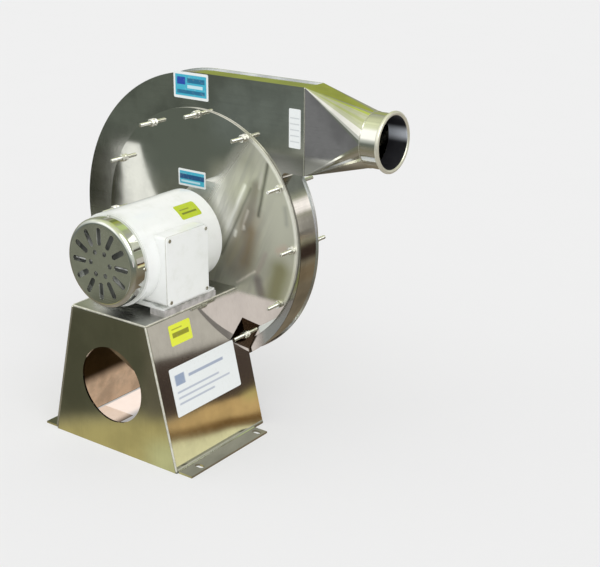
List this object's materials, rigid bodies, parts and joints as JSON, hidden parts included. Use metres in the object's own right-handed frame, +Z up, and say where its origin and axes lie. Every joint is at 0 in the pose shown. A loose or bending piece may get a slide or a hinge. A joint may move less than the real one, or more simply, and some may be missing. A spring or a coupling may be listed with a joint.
{
  "type": "pressure blower",
  "caption": "Pressure blower with a narrow scroll casing, round beaded outlet and inlet pipes, a closed wheel on the motor's own shaft, and a folded pedestal under the motor.",
  "frame": {"origin": "on the floor, at the centre of the four anchor slots, which is the middle of the pedestal", "axes": "+X to the outlet, +Y along the shaft to the inlet, +Z up"},
  "size_m": [0.927, 0.5405, 0.8743],
  "materials": {
    "polished_stainless": "polished, mirror-like",
    "bright_collar": "polished, bright rolled bead",
    "polished_cover": "polished",
    "stainless_fasteners": "plain",
    "motor_paint": "glossy white washdown paint",
    "mounting_bar": "satin",
    "gasket": "matte",
    "seal": "matte",
    "seal_ring": "satin",
    "wheel_steel": "satin",
    "shaft_steel": "ground",
    "bearing_steel": "ground",
    "core_steel": "laminated",
    "windings": "varnished copper",
    "fan_plastic": "matte"
  },
  "bodies": {
    "housing": {"casing_drive_sheet": "polished_stainless", "casing_inlet_sheet": "polished_stainless", "conduit_box": "motor_paint", "conduit_gasket": "gasket", "conduit_lid": "motor_paint", "conduit_lid_screws": "stainless_fasteners", "conduit_plug": "stainless_fasteners", "drive_gasket": "gasket", "drive_nuts": "stainless_fasteners", "drive_plate": "polished_stainless", "drive_studs": "stainless_fasteners", "drive_washers": "stainless_fasteners", "fan_cover": "polished_cover", "fan_cover_screws": "stainless_fasteners", "front_bearing_outer_ring": "bearing_steel", "front_end_bell": "motor_paint", "inlet_cone": "polished_stainless", "inlet_gasket": "gasket", "inlet_nuts": "stainless_fasteners", "inlet_pipe": "polished_stainless", "inlet_plate": "polished_stainless", "inlet_studs": "stainless_fasteners", "inlet_washers": "stainless_fasteners", "motor_barrel": "motor_paint", "motor_bolts": "stainless_fasteners", "motor_foot_left": "motor_paint", "motor_foot_right": "motor_paint", "motor_nuts": "stainless_fasteners", "motor_pad_left": "mounting_bar", "motor_pad_right": "mounting_bar", "outlet_collar": "bright_collar", "outlet_transition": "polished_stainless", "pedestal_rear_plate": "polished_stainless", "pedestal_side_left": "polished_stainless", "pedestal_side_right": "polished_stainless", "pedestal_top_plate": "polished_stainless", "rear_bearing_outer_ring": "bearing_steel", "rear_end_bell": "motor_paint", "scroll_wrapper": "polished_stainless", "seal_retainer": "seal_ring", "seal_screws": "stainless_fasteners", "shaft_seal": "seal", "stator_core": "core_steel", "stator_windings": "windings", "tie_bolt_nuts": "stainless_fasteners", "tie_bolts": "stainless_fasteners"},
    "rotor": {"motor_shaft": "shaft_steel", "rotor_core": "core_steel", "front_bearing_inner_ring": "bearing_steel", "rear_bearing_inner_ring": "bearing_steel", "cooling_fan": "fan_plastic", "wheel_backplate": "wheel_steel", "wheel_blades": "wheel_steel", "wheel_shroud": "wheel_steel", "wheel_hub": "wheel_steel", "wheel_rivets": "stainless_fasteners", "shaft_key": "shaft_steel", "hub_washer": "stainless_fasteners", "hub_screw": "stainless_fasteners"}
  },
  "joints": [
    {"name": "rotor_spin", "type": "hinge", "parent": "housing", "child": "rotor", "pos_m": [0, 0, 0.4833], "axis": [0, 1, 0], "continuous": true}
  ]
}
